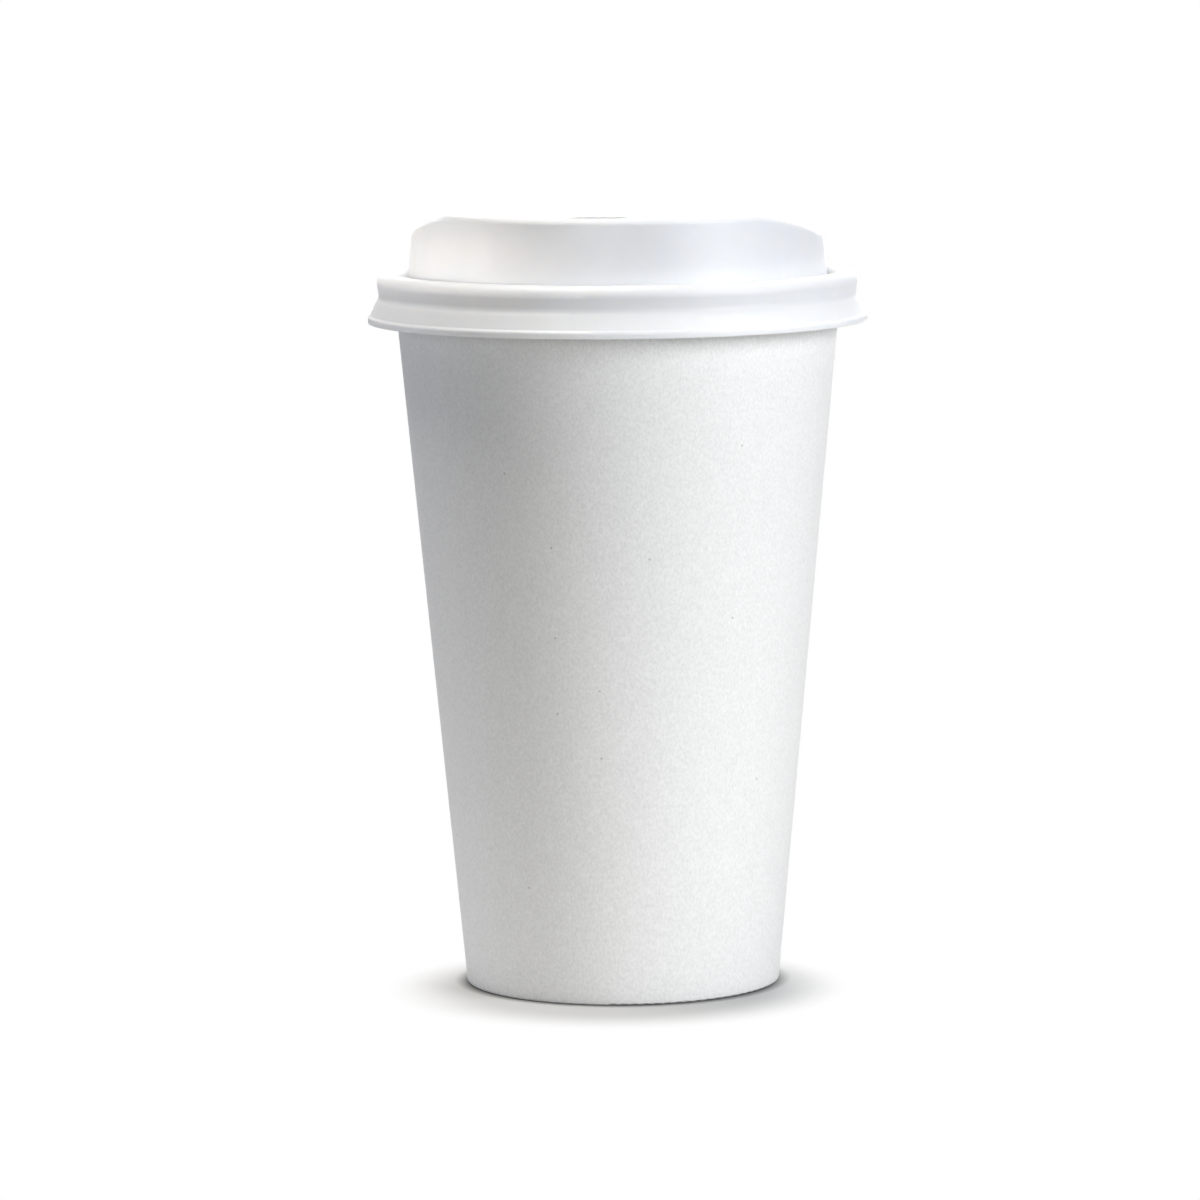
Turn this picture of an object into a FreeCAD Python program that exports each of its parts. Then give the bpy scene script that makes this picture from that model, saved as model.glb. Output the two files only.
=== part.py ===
import FreeCAD, Part
import math
import os

# Paper cup for hot drinks, about 16 oz, with its push-on drinking lid. It comes apart into
# three pieces: a side wall wrapped from one sheet of coated board, a base disc of the same
# board held in the fold of its foot, and a lid formed from one sheet of plastic.
# Millimetres, +Z up, origin on the table under the cup's axis. The lid's drinking side
# faces -Y and the side wall's lapped seam is at +Y.

# Side wall
cup_height = 136.2            # table to the top of the rolled rim
rim_diameter = 90.0           # over the rolled rim
foot_diameter = 60.0          # over the side wall, at the table
board = 0.33                  # thickness of the coated board
curl_diameter = 2.6           # of the rolled rim's bead
curl_gap = 0.1                # between the curl's free edge and the wall
lap_width = 7.0               # overlap of the side seam, just under the rim
lap_ramp = 1.6                # run in which the outer ply climbs onto the inner one
glue_film = 0.04              # between the plies of the foot
fold_radius = 0.42            # outside corners of the fold that the cup stands on

# Base disc
base_height = 8.5             # table to the top of the disc
base_bend = 1.0               # outside radius of the disc's turned-down edge

# Lid, from the bead that sits over the rolled rim down to its trimmed edge
sheet = 0.4                   # thickness of the formed plastic
seat_gap = 0.1                # between the rolled rim's top and the bead that sits on it
bead_clearance = 0.35         # between the rolled rim's side and the bead around it
neck_clearance = 0.1          # between the rolled rim and the neck that passes over it
tuck_slope = 7.0              # lean of the wall between bead and neck, degrees from upright
neck_radius = 1.6             # of the hollow under the bead
shoulder_slope = 32.0         # the skirt's slope where it leaves the neck, degrees
shoulder_radius = 5.0         # of the soft bend below that
skirt_slope = 24.5            # the skirt's slope from there down, degrees
skirt_depth = 9.1             # rolled rim's top down to the skirt's trimmed edge
hem_slope = 60.0              # of the small step out above the upright hem, degrees
hem_root_radius = 0.35        # where the step leaves the skirt
hem_radius = 0.65             # where it turns down into the hem
hem_height = 0.85             # upright band along the trimmed edge

# Crown of the lid, inside the bead
plug_depth = 0.7              # upright wall that drops inside the cup's mouth
channel_radius = 0.74         # of the groove between bead and crown
crown_draft = 6.4             # the crown's lean, degrees from upright
ledge_rise = 12.3             # rolled rim's top to the drinking ledge
low_rise = 8.2                # rolled rim's top to the low part of the crown
panel_rise = 3.4              # rolled rim's top to the sunken panel
edge_radius = 1.2             # rounding of the crown's top edges
land_width = 3.4              # the crown's top between its outer wall and the panel's wall
ledge_chord = 23.4            # axis to the back edge of the drinking ledge
ledge_back_draft = 20.0       # lean of the wall behind the ledge, degrees
ramp_slope = 12.5             # from the ledge down to the low part, degrees
ramp_top_radius = 2.0         # where the ramp leaves the ledge
ramp_foot_radius = 12.0       # where it runs out
panel_draft = 10.0            # lean of the wall round the sunken panel, degrees
panel_corner = 4.0            # radius where that wall meets the wall behind the ledge
panel_fillet = 1.4            # radius round the panel's floor
sip_length = 11.5             # of the drinking slot, across the lid
sip_width = 5.0
sip_offset = 32.6             # axis to the middle of the slot
vent_diameter = 1.2
vent_offset = 22.0            # axis to the vent, away from the drinking side

# Worked out from the sizes above
rim_radius = rim_diameter / 2
foot_radius = foot_diameter / 2
curl_radius = curl_diameter / 2
curl_centre = (rim_radius - curl_radius, cup_height - curl_radius)
ply_step = board + glue_film
base_bend_z = base_height - base_bend
bead_radius = curl_radius + bead_clearance + sheet
bead_crest = (curl_centre[0], cup_height + seat_gap + sheet)
skirt_bottom = cup_height - skirt_depth
ledge_top = cup_height + ledge_rise
low_top = cup_height + low_rise
panel_floor = cup_height + panel_rise
beyond = 2 * rim_radius       # reach of a cutter past the cup on every side

# The board leaves the foot and runs tangent into the curl at this angle from upright
foot_to_curl = curl_centre[0] - foot_radius
lean = math.acos((curl_radius - board) / math.hypot(foot_to_curl, curl_centre[1]))
lean -= math.atan2(curl_centre[1], foot_to_curl)


def wall_r(z, depth=0.0):
    """Radius at a height of the surface that lies depth inside the side wall's outside."""
    return foot_radius + z * math.tan(lean) - depth / math.cos(lean)


def at(r, z):
    """Point of the section plane."""
    return FreeCAD.Vector(r, 0, z)


def polar(centre, radius, angle):
    """Coordinates at a distance and an angle in degrees from a centre."""
    turn = math.radians(angle)
    return (centre[0] + radius * math.cos(turn), centre[1] + radius * math.sin(turn))


def straight(start, end):
    return Part.LineSegment(start, end).toShape()


def turned(edges):
    """Solid of revolution about the cup's axis of the section that these edges enclose."""
    section = Part.Face(Part.Wire(Part.__sortEdges__(edges)))
    return section.revolve(FreeCAD.Vector(), FreeCAD.Vector(0, 0, 1), 360)


def rounded(corners):
    """Closed outline in the section plane through corners given as (r, z, rounding radius)."""
    edges = []
    ends = []
    for i, (r, z, radius) in enumerate(corners):
        here = at(r, z)
        if not radius:
            ends.append((here, here))
            continue
        back = at(*corners[i - 1][:2]).sub(here).normalize()
        ahead = at(*corners[(i + 1) % len(corners)][:2]).sub(here).normalize()
        half = back.getAngle(ahead) / 2
        reach = radius / math.tan(half)
        middle = (back + ahead).normalize() * (radius / math.sin(half) - radius)
        ends.append((here + back * reach, here + ahead * reach))
        edges.append(Part.Arc(ends[i][0], here + middle, ends[i][1]).toShape())
    for i, (start, _) in enumerate(ends):
        edges.append(straight(ends[i - 1][1], start))
    return edges


def smooth_run(start, heading, steps):
    """Line of the section plane made of tangent steps, (length,) or (radius, turn in degrees).

    Each step comes back as its points with the unit normals on their left, so that the
    same line can be drawn at any distance from itself.
    """
    pieces = []
    for step in steps:
        if len(step) == 1:
            ends = [start, polar(start, step[0], heading)]
            pieces.append([(point, polar((0, 0), 1, heading + 90)) for point in ends])
        else:
            radius, turn = step
            arm = math.copysign(radius, turn)
            centre = polar(start, arm, heading + 90)
            stops = [heading + 90 + turn * share for share in (0, 0.5, 1)]
            pieces.append([(polar(centre, -arm, stop), polar((0, 0), 1, stop)) for stop in stops])
            heading += turn
        start = pieces[-1][-1][0]
    return pieces


def moved(mark, offset):
    """A point of a smooth run, moved along its normal."""
    (r, z), (across, up) = mark
    return at(r + across * offset, z + up * offset)


def drawn(pieces, offset=0.0):
    """Edges of a smooth run, moved to its left by the offset."""
    edges = []
    for marks in pieces:
        points = [moved(mark, offset) for mark in marks]
        edges.append(Part.Arc(*points).toShape() if len(points) == 3 else straight(*points))
    return edges


# Side wall

def blank_section():
    """The board's one line: down inside the foot, folded out and up the wall, rolled at the rim."""
    deep = 2 * ply_step + board
    slope = math.degrees(lean)
    top = base_bend_z - glue_film
    inner_fold_z = fold_radius * (1 + math.sin(lean))
    outer_fold_z = fold_radius * (1 - math.sin(lean))
    curl_z = curl_centre[1] + (curl_radius - board) * math.sin(lean)
    flat = wall_r(outer_fold_z) - wall_r(inner_fold_z, deep) - 2 * fold_radius * math.cos(lean)
    opening = math.degrees(math.acos((curl_radius - board - curl_gap) / curl_radius))
    return smooth_run((wall_r(top, deep), top), -90 - slope, [
        ((top - inner_fold_z) / math.cos(lean),), (fold_radius, 90 + slope), (flat,),
        (fold_radius, 90 - slope), ((curl_z - outer_fold_z) / math.cos(lean),),
        (curl_radius - board, opening - 360)])


def seam_wedge(low, high, corners):
    """Sliver along the seam with three (depth, angle) corners, the same at both heights."""
    def level(z):
        points = [FreeCAD.Vector(*polar((0, 0), wall_r(z, depth), angle), z) for depth, angle in corners]
        return Part.makePolygon(points + points[:1])

    return Part.makeLoft([level(low), level(high)], True, True)


def cup_wall():
    """The wrapped board: the outer ply climbs a ramp and lies over the inner one at +Y."""
    line = blank_section()
    ends = [straight(moved(mark, 0), moved(mark, board)) for mark in (line[0][0], line[-1][-1])]
    wrapped = turned(drawn(line) + drawn(line, board) + ends)

    low, high = fold_radius + glue_film, cup_height - curl_diameter
    lap = math.degrees(lap_width / wall_r(high))
    ramp = math.degrees(lap_ramp / wall_r(high))
    start = 90 - lap / 2
    ply = [at(wall_r(z, depth), z) for z, depth in ((low, board / 2), (low, -board), (high, -board), (high, board / 2))]
    ply = Part.Face(Part.makePolygon(ply + ply[:1]))
    ply.rotate(FreeCAD.Vector(), FreeCAD.Vector(0, 0, 1), start)
    ply = ply.revolve(FreeCAD.Vector(), FreeCAD.Vector(0, 0, 1), lap)
    climb = seam_wedge(low, high, [(0, start - ramp), (-board, start), (board / 2, start)])
    hollow = seam_wedge(low, high, [(board, start - ramp), (0, start), (1.5 * board, start)])
    return wrapped.fuse([ply, climb]).cut(hollow).removeSplitter()


# Base disc

def cup_base():
    """Flat disc with a skirt that stands in the fold of the foot."""
    top, low = base_height, fold_radius + glue_film
    inner = ply_step + board
    return turned(rounded([
        (0, top, 0), (wall_r(top, ply_step), top, base_bend), (wall_r(low, ply_step), low, 0),
        (wall_r(low, inner), low, 0), (wall_r(top - board, inner), top - board, base_bend - board),
        (0, top - board, 0)]))


# Lid

def skirt_run():
    """The lid's outside from the top of the bead, round the neck and down to the trimmed edge."""
    tuck = math.radians(tuck_slope)
    neck = rim_radius + neck_clearance + sheet
    inward = bead_crest[0] + bead_radius * math.cos(tuck) - neck - neck_radius * (1 - math.cos(tuck))
    top = [(bead_radius, -90 - tuck_slope), (inward / math.sin(tuck),),
           (neck_radius, tuck_slope + shoulder_slope), (shoulder_radius, skirt_slope - shoulder_slope)]
    hem = [(hem_root_radius, hem_slope - skirt_slope), (hem_radius, -hem_slope), (hem_height,)]
    shoulder_z = smooth_run(bead_crest, 0, top)[-1][-1][0][1]
    hem_drop = -smooth_run((0, 0), skirt_slope - 90, hem)[-1][-1][0][1]
    drop = shoulder_z - hem_drop - skirt_bottom
    return smooth_run(bead_crest, 0, top + [(drop / math.cos(math.radians(skirt_slope)),)] + hem)


def crown_run():
    """The lid's outside from the top of the bead, through the channel and up the crown."""
    bends = [(bead_radius, 90), (plug_depth,), (channel_radius, crown_draft - 180)]
    foot_z = smooth_run(bead_crest, 180, bends)[-1][-1][0][1]
    rise = (ledge_top - foot_z) / math.cos(math.radians(crown_draft))
    return smooth_run(bead_crest, 180, bends + [(rise,)])


def crown_r(z):
    """Radius of the crown's outside at a height."""
    top_r, top_z = crown_run()[-1][-1][0]
    return top_r + (top_z - z) * math.tan(math.radians(crown_draft))


def plain_lid(inset):
    """Turned solid that ends at the ledge's height all round."""
    skirt, crown = skirt_run(), crown_run()
    edge, top = moved(skirt[-1][-1], -inset), moved(crown[-1][-1], inset)
    stops = [edge, at(0, edge.z), at(0, top.z), top]
    closing = [straight(*pair) for pair in zip(stops, stops[1:])]
    return turned(drawn(skirt, -inset) + drawn(crown, inset) + closing)


def above_crown(inset):
    """Cutter over the ledge, its ramp and the low part, drawn from the side."""
    slope = math.radians(ramp_slope)
    top, low = ledge_top - inset, low_top - inset
    chord = -ledge_chord - inset * math.tan(slope / 2)
    foot = chord + (top - low) / math.tan(slope)
    side = Part.Face(Part.Wire(Part.__sortEdges__(rounded([
        (-beyond, top, 0), (chord, top, ramp_top_radius - inset), (foot, low, ramp_foot_radius + inset),
        (beyond, low, 0), (beyond, beyond + top, 0), (-beyond, beyond + top, 0)]))))
    side.rotate(FreeCAD.Vector(), FreeCAD.Vector(0, 0, 1), 90)
    side.translate(FreeCAD.Vector(beyond, 0, 0))
    return side.extrude(FreeCAD.Vector(-2 * beyond, 0, 0))


def panel_well(inset):
    """Cutter for the sunken panel: a drafted round well, flat on the ledge's side."""
    floor, top = panel_floor - inset, ledge_top + sheet
    draft, back_draft = math.radians(panel_draft), math.radians(ledge_back_draft)
    wall = crown_r(low_top) - land_width + inset / math.cos(draft)
    low_r = wall - (low_top - floor) * math.tan(draft)
    high_r = wall + (top - low_top) * math.tan(draft)
    well = Part.makeCone(low_r, high_r, top - floor, FreeCAD.Vector(0, 0, floor))
    back = -ledge_chord - inset / math.cos(back_draft)
    low_y = back + (ledge_top - floor) * math.tan(back_draft)
    high_y = back + (ledge_top - top) * math.tan(back_draft)
    behind = [(high_y, top), (low_y, floor), (beyond, floor), (beyond, top), (high_y, top)]
    side = Part.Face(Part.makePolygon([FreeCAD.Vector(-beyond, y, z) for y, z in behind]))
    well = well.common(side.extrude(FreeCAD.Vector(2 * beyond, 0, 0)))
    corners = [edge for edge in well.Edges if edge.BoundBox.ZLength > top - floor - sheet
               and edge.CenterOfMass.y < 0 and abs(edge.CenterOfMass.x) > panel_corner]
    well = well.makeFillet(panel_corner + inset, corners)
    floor_edges = [edge for edge in well.Edges if edge.BoundBox.ZMax < floor + sheet / 2]
    return well.makeFillet(panel_fillet + inset, floor_edges)


def lid_form(inset):
    """The lid as a filled solid: its outside, or with the sheet's thickness as inset its inside."""
    form = plain_lid(inset).cut([above_crown(inset), panel_well(inset)])
    tops = [face for face in form.Faces if face.BoundBox.ZMin > low_top - inset - sheet / 2]
    edges = [edge for face in tops for edge in face.Edges]
    rims = [edge for edge in edges if sum(edge.isSame(other) for other in edges) == 1]
    return form.makeFillet(edge_radius - inset, rims)


def sip_slot():
    """Cutter through the ledge, with round ends and its length across the lid."""
    half = (sip_length - sip_width) / 2
    tall, low = 2 * sheet, ledge_top - 1.5 * sheet
    slot = Part.makeBox(2 * half, sip_width, tall, FreeCAD.Vector(-half, -sip_offset - sip_width / 2, low))
    ends = [Part.makeCylinder(sip_width / 2, tall, FreeCAD.Vector(x, -sip_offset, low)) for x in (-half, half)]
    return slot.fuse(ends)


def vent_hole():
    """Cutter through the sunken panel."""
    return Part.makeCylinder(vent_diameter / 2, 2 * sheet, FreeCAD.Vector(0, vent_offset, panel_floor - 1.5 * sheet))


def lid():
    return lid_form(0).cut([lid_form(sheet), sip_slot(), vent_hole()])


os.makedirs("parts", exist_ok=True)
for name, make in (("cup_wall", cup_wall), ("cup_base", cup_base), ("lid", lid)):
    make().exportStep(f"parts/{name}.step")
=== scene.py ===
import bmesh
import bpy
import math
from mathutils import Matrix, Vector


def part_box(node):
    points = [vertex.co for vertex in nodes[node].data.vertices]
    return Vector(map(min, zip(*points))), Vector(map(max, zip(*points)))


# Paper cup for hot drinks with its push-on drinking lid, standing on a white table in a white
# room. Its three pieces keep their own shapes and get the finish of the real board and plastic
# here. Metres, +Z up, origin on the table under the cup's axis, drinking slot towards -Y.

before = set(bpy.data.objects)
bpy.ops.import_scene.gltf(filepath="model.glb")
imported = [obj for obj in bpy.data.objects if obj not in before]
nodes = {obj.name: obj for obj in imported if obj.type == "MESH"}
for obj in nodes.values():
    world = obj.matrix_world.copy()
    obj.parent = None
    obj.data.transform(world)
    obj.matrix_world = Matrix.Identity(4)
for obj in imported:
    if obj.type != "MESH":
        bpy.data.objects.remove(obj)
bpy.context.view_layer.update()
millimetre = 0.001

# Places on the cup, from its own pieces
rim_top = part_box("cup_wall")[1].z
rim_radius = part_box("cup_wall")[1].x
disc_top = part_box("cup_base")[1].z
disc_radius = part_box("cup_base")[1].x
foot_radius = 30 * millimetre
curl_height = 2.6 * millimetre        # of the rolled rim
middle_radius = (rim_radius + disc_radius) / 2
coat_bottom = disc_top - millimetre   # the wall's face above this is on the drink's side

# The photograph was taken with a long lens from a little above, with the drinking side turned
# slightly to the left. Distances in metres, angles in degrees, lens and sensor in millimetres.
camera_distance = 1.2085
camera_height = 0.2176
camera_pitch = 6.806
camera_yaw = -0.182
camera_roll = -0.5
camera_azimuth = 6.4
camera_lens = 190.53
camera_sensor = 36.0
camera_reach = 100.0

# Sockets of a Mix node that mixes colours
mix_share = 0
mix_from = 6
mix_to = 7
mix_result = 2


def linear(hex_colour):
    """Linear RGBA of an sRGB colour such as F2F2F0."""
    shares = [int(hex_colour[i:i + 2], 16) / 255 for i in (0, 2, 4)]
    return [s / 12.92 if s <= 0.04045 else ((s + 0.055) / 1.055) ** 2.4 for s in shares] + [1.0]


def add(tree, kind, sockets, **settings):
    """A new node: its settings, and for each input a value or the output that feeds it."""
    node = tree.nodes.new(kind)
    for setting, value in settings.items():
        setattr(node, setting, value)
    for socket, value in sockets.items():
        if isinstance(value, bpy.types.NodeSocket):
            tree.links.new(value, node.inputs[socket])
        else:
            node.inputs[socket].default_value = value
    return node


def new_material(name):
    """A material with its tree, its surface shader and the piece's own coordinates."""
    material = bpy.data.materials.new(name)
    material.use_nodes = True
    tree = material.node_tree
    return material, tree, tree.nodes["Principled BSDF"], add(tree, "ShaderNodeTexCoord", {})


def finish(tree, surface, colour, roughness, bumps, ior):
    """Feeds a surface shader. Bumps are (height, depth) pairs, each laid on the one before."""
    normal = None
    for height, depth in bumps:
        sockets = {"Height": height, "Distance": depth, "Strength": 1.0}
        if normal is not None:
            sockets["Normal"] = normal
        normal = add(tree, "ShaderNodeBump", sockets).outputs[0]
    tree.links.new(colour, surface.inputs["Base Color"])
    tree.links.new(roughness, surface.inputs["Roughness"])
    tree.links.new(normal, surface.inputs["Normal"])
    surface.inputs["IOR"].default_value = ior


def put_on(name, material):
    """Gives a piece of the cup its material."""
    for slot in nodes[name].material_slots:
        slot.material = material


# Bleached cup board, clay coated: matt and faintly fibrous, with the odd dark fleck in it
board_white = "F8F8F7"
board_shade = "E6E6E5"
board_roughness = 0.58
board_ior = 1.5
floc_size = 0.45 * millimetre         # clumps of fibre
floc_detail = 3.0
floc_raggedness = 0.6
floc_depth = 0.04 * millimetre
floc_roughness = 0.08                 # the board is duller where they stand up
fibre_draw = 1.5                      # they lie along the machine's run, up the wall
cloud_size = 4.0 * millimetre         # cockle of the sheet
cloud_detail = 2.0
cloud_depth = 0.03 * millimetre
cloud_share = 0.12                    # of it that tints the board, next to the fibre
shade_low = 0.33                      # the noise at which the board has its darker tone
shade_high = 0.79                     # and at which it has its white
speck_spacing = 9.0 * millimetre
speck_radius = 0.25 * millimetre      # real flecks are about 0.1 mm, too fine to show
speck_core = 0.5                      # share of the radius inside its soft edge
speck_share = 0.1                     # one place in ten holds a fleck
speck_colour = "C2BFBA"
coat_roughness = 0.24                 # polyethylene coat on the drink's side
upward = 0.5                          # a face whose normal rises more than this looks up
knurl_pitch = 1.0 * millimetre        # ribs pressed into the foot's inner face as it is sealed
knurl_depth = 0.06 * millimetre
knurl_fade = 1.0 * millimetre         # they run out over this height, under the disc


def board_surface(tree, surface, place, flat, coated, bumps):
    """Fibre, specks and the two faces of cup board, shared by the side wall and the disc.

    flat is the place on the unrolled board, coated is 1 on the polyethylene face, and bumps
    are further (height, depth) pairs of the piece.
    """
    drawn_out = add(tree, "ShaderNodeMapping", {
        "Vector": place.outputs["Object"], "Scale": (1, 1, 1 / fibre_draw)})
    flocs = add(tree, "ShaderNodeTexNoise", {
        "Vector": drawn_out.outputs[0], "Scale": 1 / floc_size,
        "Detail": floc_detail, "Roughness": floc_raggedness})
    clouds = add(tree, "ShaderNodeTexNoise", {
        "Vector": drawn_out.outputs[0], "Scale": 1 / cloud_size, "Detail": cloud_detail})
    shade = add(tree, "ShaderNodeMath", {
        0: clouds.outputs[0], 1: cloud_share, 2: flocs.outputs[0]}, operation="MULTIPLY_ADD")
    shade = add(tree, "ShaderNodeMapRange", {
        "Value": shade.outputs[0], "From Min": shade_low, "From Max": shade_high})
    white = add(tree, "ShaderNodeMix", {
        mix_share: shade.outputs[0], mix_from: linear(board_shade), mix_to: linear(board_white)},
        data_type="RGBA")

    dots = add(tree, "ShaderNodeTexVoronoi", {
        "Vector": flat, "Scale": 1 / speck_spacing, "Randomness": 1.0}, voronoi_dimensions="2D")
    chance = add(tree, "ShaderNodeSeparateColor", {0: dots.outputs["Color"]})
    chosen = add(tree, "ShaderNodeMath", {0: chance.outputs[0], 1: speck_share}, operation="LESS_THAN")
    radius = speck_radius / speck_spacing
    dot = add(tree, "ShaderNodeMapRange", {
        "Value": dots.outputs["Distance"],
        "From Min": speck_core * radius, "From Max": radius, "To Min": 1.0, "To Max": 0.0})
    dot = add(tree, "ShaderNodeMath", {0: dot.outputs[0], 1: chosen.outputs[0]}, operation="MULTIPLY")
    colour = add(tree, "ShaderNodeMix", {
        mix_share: dot.outputs[0], mix_from: white.outputs[mix_result], mix_to: linear(speck_colour)},
        data_type="RGBA")

    rough = add(tree, "ShaderNodeMapRange", {
        "Value": coated, "To Min": board_roughness, "To Max": coat_roughness})
    rough = add(tree, "ShaderNodeMath", {
        0: flocs.outputs[0], 1: floc_roughness, 2: rough.outputs[0]}, operation="MULTIPLY_ADD")
    own_bumps = [(flocs.outputs[0], floc_depth), (clouds.outputs[0], cloud_depth)]
    finish(tree, surface, colour.outputs[mix_result], rough.outputs[0], own_bumps + bumps, board_ior)


def wall_board():
    """Side wall: board outside, coat inside and over the rolled rim, knurled inside the foot."""
    material, tree, surface, place = new_material("clay_coated_cup_board")
    here = add(tree, "ShaderNodeSeparateXYZ", {0: place.outputs["Object"]})
    x, y, z = here.outputs
    front = add(tree, "ShaderNodeMath", {0: y, 1: -1.0}, operation="MULTIPLY")
    angle = add(tree, "ShaderNodeMath", {0: x, 1: front.outputs[0]}, operation="ARCTAN2")
    around = add(tree, "ShaderNodeMath", {0: angle.outputs[0], 1: middle_radius}, operation="MULTIPLY")
    flat = add(tree, "ShaderNodeCombineXYZ", {0: around.outputs[0], 1: z})

    outward = add(tree, "ShaderNodeCombineXYZ", {0: x, 1: y})
    facing = add(tree, "ShaderNodeVectorMath", {
        0: outward.outputs[0], 1: place.outputs["Normal"]}, operation="DOT_PRODUCT")
    inside = add(tree, "ShaderNodeMath", {0: facing.outputs["Value"], 1: 0.0}, operation="LESS_THAN")
    over_disc = add(tree, "ShaderNodeMath", {0: z, 1: coat_bottom}, operation="GREATER_THAN")
    on_curl = add(tree, "ShaderNodeMath", {0: z, 1: rim_top - curl_height}, operation="GREATER_THAN")
    coated = add(tree, "ShaderNodeMath", {
        0: inside.outputs[0], 1: over_disc.outputs[0]}, operation="MULTIPLY")
    coated = add(tree, "ShaderNodeMath", {
        0: coated.outputs[0], 1: on_curl.outputs[0]}, operation="MAXIMUM")

    ribs = round(2 * math.pi * disc_radius / knurl_pitch)
    wave = add(tree, "ShaderNodeMath", {0: angle.outputs[0], 1: float(ribs)}, operation="MULTIPLY")
    wave = add(tree, "ShaderNodeMath", {0: wave.outputs[0]}, operation="SINE")
    foot_band = add(tree, "ShaderNodeMapRange", {
        "Value": z, "From Min": coat_bottom - knurl_fade, "From Max": coat_bottom,
        "To Min": 1.0, "To Max": 0.0})
    knurl = add(tree, "ShaderNodeMath", {
        0: wave.outputs[0], 1: foot_band.outputs[0]}, operation="MULTIPLY")
    knurl = add(tree, "ShaderNodeMath", {
        0: knurl.outputs[0], 1: inside.outputs[0]}, operation="MULTIPLY")
    ribbed = [(knurl.outputs[0], knurl_depth)]
    board_surface(tree, surface, place, flat.outputs[0], coated.outputs[0], ribbed)
    return material


def disc_board():
    """Base disc: coat on its top face, bare board underneath."""
    material, tree, surface, place = new_material("clay_coated_cup_board_disc")
    facing = add(tree, "ShaderNodeSeparateXYZ", {0: place.outputs["Normal"]})
    coated = add(tree, "ShaderNodeMath", {0: facing.outputs["Z"], 1: upward}, operation="GREATER_THAN")
    board_surface(tree, surface, place, place.outputs["Object"], coated.outputs[0], [])
    return material


# High-impact polystyrene sheet, vacuum formed: cool white with a satin sheen that wavers
# where the hot sheet was drawn down, and soft in its shadows, as light wanders in the sheet
lid_white = "F5F6F8"
lid_shade = "EEF0F3"
lid_roughness = 0.48
lid_ior = 1.59
lid_scatter = 1.2 * millimetre
lid_scatter_rgb = (1.0, 0.94, 0.82)   # red light wanders furthest
haze_size = 7.0 * millimetre          # patches of haze left by the mould
haze_detail = 3.0
haze_roughness = 0.08
draw_size = 11.0 * millimetre         # slow waviness of the drawn walls
draw_detail = 1.0
draw_depth = 0.03 * millimetre
peel_size = 1.1 * millimetre          # orange peel from the mould's grain, real is nearer 0.5 mm
peel_detail = 2.0
peel_depth = 0.0025 * millimetre


def lid_plastic():
    """Lid: haze in its colour and sheen, waviness and orange peel in its surface."""
    material, tree, surface, place = new_material("formed_polystyrene_sheet")
    patterns = [(haze_size, haze_detail), (draw_size, draw_detail), (peel_size, peel_detail)]
    haze, draw, peel = [
        add(tree, "ShaderNodeTexNoise", {
            "Vector": place.outputs["Object"], "Scale": 1 / size, "Detail": detail}).outputs[0]
        for size, detail in patterns]
    colour = add(tree, "ShaderNodeMix", {
        mix_share: haze, mix_from: linear(lid_shade), mix_to: linear(lid_white)}, data_type="RGBA")
    rough = add(tree, "ShaderNodeMath", {
        0: haze, 1: haze_roughness, 2: lid_roughness}, operation="MULTIPLY_ADD")
    bumps = [(draw, draw_depth), (peel, peel_depth)]
    finish(tree, surface, colour.outputs[mix_result], rough.outputs[0], bumps, lid_ior)
    surface.inputs["Subsurface Weight"].default_value = 1.0
    surface.inputs["Subsurface Radius"].default_value = lid_scatter_rgb
    surface.inputs["Subsurface Scale"].default_value = lid_scatter
    return material


# Table and room. Both show as plain white, and the table keeps the shadow round the foot.
plain_white = "FFFFFF"
room_level = 0.01
floor_reach = 30.0
floor_white = "D2D2D2"
table_painted_falloff = "404040"                  # painted shade: further out the table's colour darkens, as the lamps' light falls off
table_inner = 0.12
table_outer = 0.30
painted_contact_shadow = "707070"                # painted shadow: the table darker under the foot and just past it, for the dark line there
painted_contact_outer = foot_radius + 2.5 * millimetre
shadow_inner = 27 * millimetre        # the shadow shows in a soft-edged round of its own
shadow_outer = 45 * millimetre
shadow_shift = 11 * millimetre        # whose middle lies this far in front of the axis


def seen(tree):
    """1 for what the camera sees, by itself, in a gloss or through something clear."""
    path = add(tree, "ShaderNodeLightPath", {})
    mirrored = add(tree, "ShaderNodeMath", {
        0: path.outputs["Is Camera Ray"], 1: path.outputs["Is Glossy Ray"]}, operation="MAXIMUM")
    return add(tree, "ShaderNodeMath", {
        0: mirrored.outputs[0], 1: path.outputs["Is Transmission Ray"]}, operation="MAXIMUM").outputs[0]


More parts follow.
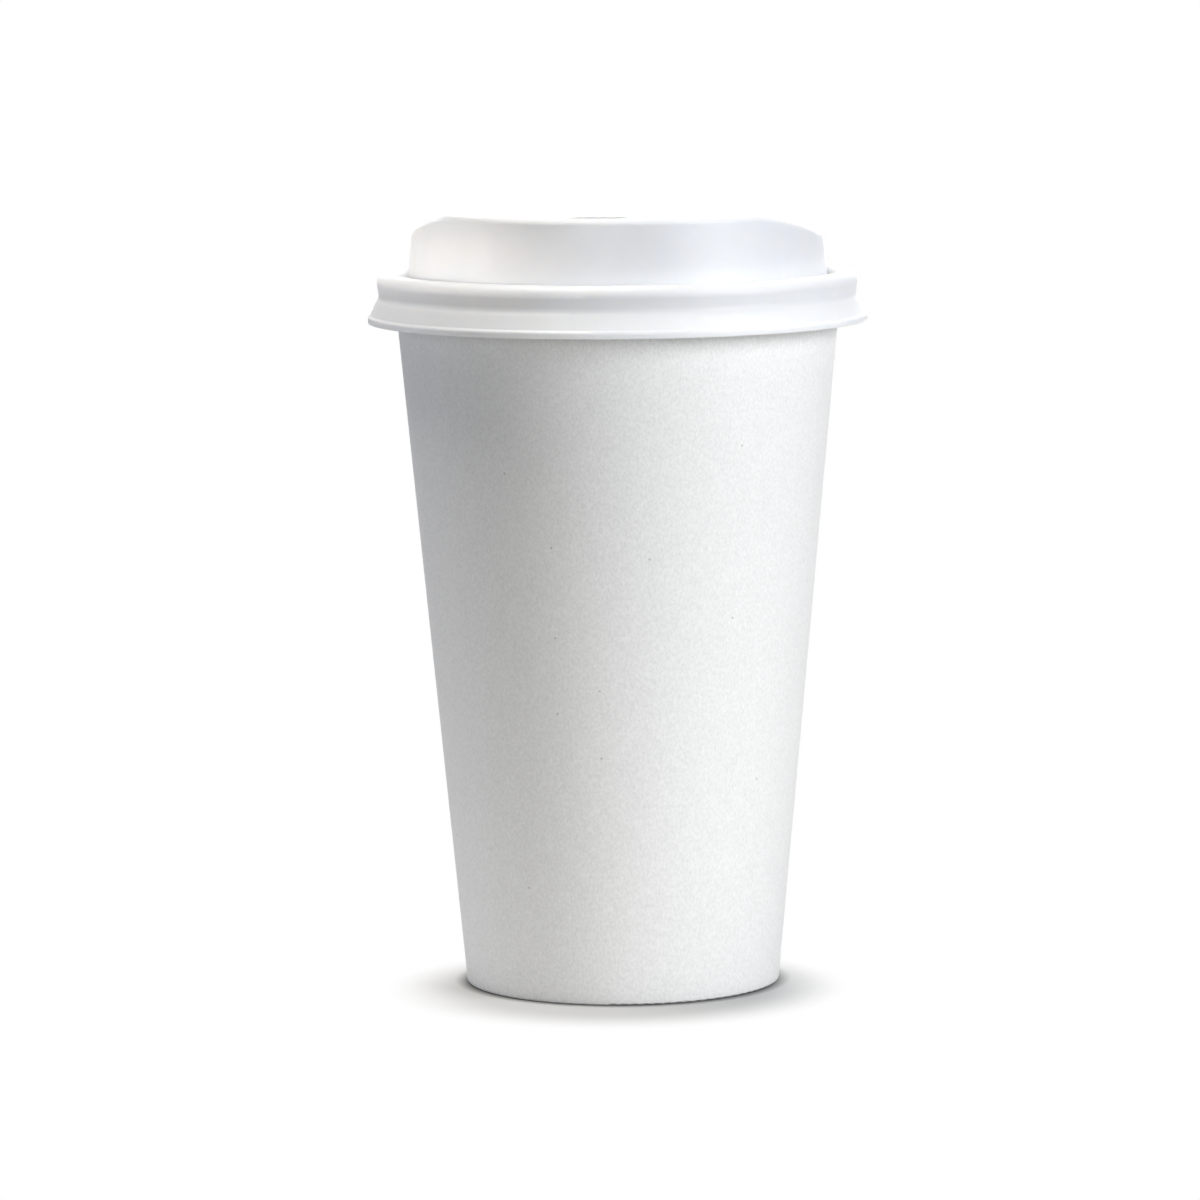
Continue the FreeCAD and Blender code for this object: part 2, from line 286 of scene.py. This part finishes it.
def table_paint():
    """Matt white of the table, with painted shadow round the foot and painted shade far out, and the
    plain white that it is seen as outside its shadow.
    """
    material, tree, surface, place = new_material("white_table")
    tree.nodes.remove(surface)
    far = add(tree, "ShaderNodeVectorMath", {0: place.outputs["Object"]}, operation="LENGTH")
    # Painted shade: the table's colour falls to its darker tone between these distances from the axis
    edge = add(tree, "ShaderNodeMapRange", {
        "Value": far.outputs["Value"], "From Min": table_inner, "From Max": table_outer})
    white = add(tree, "ShaderNodeMix", {
        mix_share: edge.outputs[0], mix_from: linear(floor_white), mix_to: linear(table_painted_falloff)},
        data_type="RGBA")
    # Painted shadow: the table's colour is darker under the foot and fades to its white just past it
    bare = add(tree, "ShaderNodeMapRange", {
        "Value": far.outputs["Value"], "From Min": foot_radius, "From Max": painted_contact_outer})
    white = add(tree, "ShaderNodeMix", {
        mix_share: bare.outputs[0], mix_from: linear(painted_contact_shadow), mix_to: white.outputs[mix_result]},
        data_type="RGBA")
    matt = add(tree, "ShaderNodeBsdfDiffuse", {"Color": white.outputs[mix_result]})
    glow = add(tree, "ShaderNodeEmission", {"Color": linear(plain_white), "Strength": 1.0})

    away = add(tree, "ShaderNodeVectorMath", {
        0: place.outputs["Object"], 1: (0, -shadow_shift, 0)}, operation="DISTANCE")
    clear = add(tree, "ShaderNodeMapRange", {
        "Value": away.outputs["Value"], "From Min": shadow_inner, "From Max": shadow_outer},
        interpolation_type="SMOOTHSTEP")
    share = add(tree, "ShaderNodeMath", {0: clear.outputs[0], 1: seen(tree)}, operation="MULTIPLY")
    mixed = add(tree, "ShaderNodeMixShader", {
        0: share.outputs[0], 1: matt.outputs[0], 2: glow.outputs[0]})
    tree.links.new(mixed.outputs[0], tree.nodes["Material Output"].inputs["Surface"])
    return material


def table():
    """One flat face under the cup, reaching past the edges of the picture."""
    mesh = bmesh.new()
    bmesh.ops.create_grid(mesh, x_segments=1, y_segments=1, size=floor_reach)
    floor = bpy.data.objects.new("floor", bpy.data.meshes.new("floor"))
    mesh.to_mesh(floor.data)
    mesh.free()
    bpy.context.scene.collection.objects.link(floor)
    floor.data.materials.append(table_paint())


def room():
    """Faint light from all round, and a backdrop that the camera sees as plain white."""
    world = bpy.data.worlds.new("white_room")
    world.use_nodes = True
    bpy.context.scene.world = world
    tree = world.node_tree
    light = tree.nodes["Background"]
    light.inputs["Color"].default_value = linear(plain_white)
    light.inputs["Strength"].default_value = room_level
    backdrop = add(tree, "ShaderNodeBackground", {"Color": linear(plain_white), "Strength": 1.0})
    mixed = add(tree, "ShaderNodeMixShader", {
        0: seen(tree), 1: light.outputs[0], 2: backdrop.outputs[0]})
    tree.links.new(mixed.outputs[0], tree.nodes["World Output"].inputs["Surface"])


# The strip is a narrow lamp close beside the lid's crown. A grid keeps its beam from widening.
strip_width = 120 * millimetre
strip_depth = 12.5 * millimetre       # from its bottom edge to its top one
strip_bottom = rim_top - millimetre
strip_distance = 110 * millimetre
strip_spread = 12.0                   # degrees, across the beam's whole cone


def towards(azimuth, elevation):
    """Direction away from the cup, in degrees to the camera's right and up."""
    turn = math.radians(azimuth + camera_azimuth)
    climb = math.radians(elevation)
    return Vector((math.sin(turn) * math.cos(climb), -math.cos(turn) * math.cos(climb), math.sin(climb)))


def hang(light, colour, middle, away, distance):
    """Puts a light at a distance from the middle of what it lights, and faces it there."""
    light.color = linear(colour)[:3]
    stand = bpy.data.objects.new(light.name, light)
    stand.location = middle + away * distance
    stand.rotation_mode = "QUATERNION"
    stand.rotation_quaternion = away.to_track_quat("Z", "Y")
    bpy.context.scene.collection.objects.link(stand)
    return stand


def lamp(name, azimuth, elevation, distance, size, level, colour):
    """Soft round lamp aimed at the cup's middle.

    At a level of 1 it alone renders a matt surface that faces it in the colour as written.
    """
    light = bpy.data.lights.new(name, "AREA")
    light.shape = "DISK"
    light.size = size
    light.energy = level * math.pi ** 2 * distance ** 2
    hang(light, colour, Vector((0, 0, rim_top / 2)), towards(azimuth, elevation), distance)


def strip(name, lit_piece, azimuth, level, colour):
    """Gridded strip lamp with a level beam, which lights one piece alone.

    At a level of 1 the middle of its beam renders a matt surface in the colour as written.
    """
    light = bpy.data.lights.new(name, "AREA")
    light.shape = "RECTANGLE"
    light.size = strip_width
    light.size_y = strip_depth
    light.spread = math.radians(strip_spread)
    light.energy = level * math.pi * strip_width * strip_depth
    middle = Vector((0, 0, strip_bottom + strip_depth / 2))
    stand = hang(light, colour, middle, towards(azimuth, 0), strip_distance)
    lit = bpy.data.collections.new(name)
    lit.objects.link(nodes[lit_piece])
    stand.light_linking.receiver_collection = lit


def camera():
    """Long lens, standing where the photograph was taken from."""
    lens = bpy.data.cameras.new("camera")
    lens.sensor_fit = "HORIZONTAL"
    lens.sensor_width = camera_sensor
    lens.lens = camera_lens
    lens.clip_end = camera_reach
    stand = bpy.data.objects.new("camera", lens)
    bpy.context.scene.collection.objects.link(stand)
    stand.matrix_world = (
        Matrix.Rotation(math.radians(camera_azimuth), 4, "Z")
        @ Matrix.Translation((0, -camera_distance, camera_height))
        @ Matrix.Rotation(math.radians(-camera_yaw), 4, "Z")
        @ Matrix.Rotation(math.radians(90 - camera_pitch), 4, "X")
        @ Matrix.Rotation(math.radians(camera_roll), 4, "Z"))
    bpy.context.scene.camera = stand


put_on("cup_wall", wall_board())
put_on("cup_base", disc_board())
put_on("lid", lid_plastic())

table()
room()
lamp("window", azimuth=54, elevation=20, distance=0.6, size=0.35, level=0.8, colour="FAFCFF")
lamp("ceiling", azimuth=0, elevation=88, distance=1.2, size=0.7, level=0.12, colour="FFFFFF")
lamp("ceiling_left", azimuth=-80, elevation=75, distance=1.3, size=0.55, level=0.62, colour="FFFAF0")
lamp("front_wall", azimuth=-8, elevation=8, distance=1.0, size=0.5, level=0.17, colour="FFFFFF")
lamp("left_wall", azimuth=-105, elevation=5, distance=1.0, size=0.5, level=0.19, colour="E2EAFF")
lamp("back_wall", azimuth=175, elevation=15, distance=1.2, size=0.9, level=0.55, colour="FFFFFF")
strip("crown_side", lit_piece="lid", azimuth=-80, level=0.62, colour="FFF5E8")
camera()
bpy.context.scene.view_settings.view_transform = "Standard"
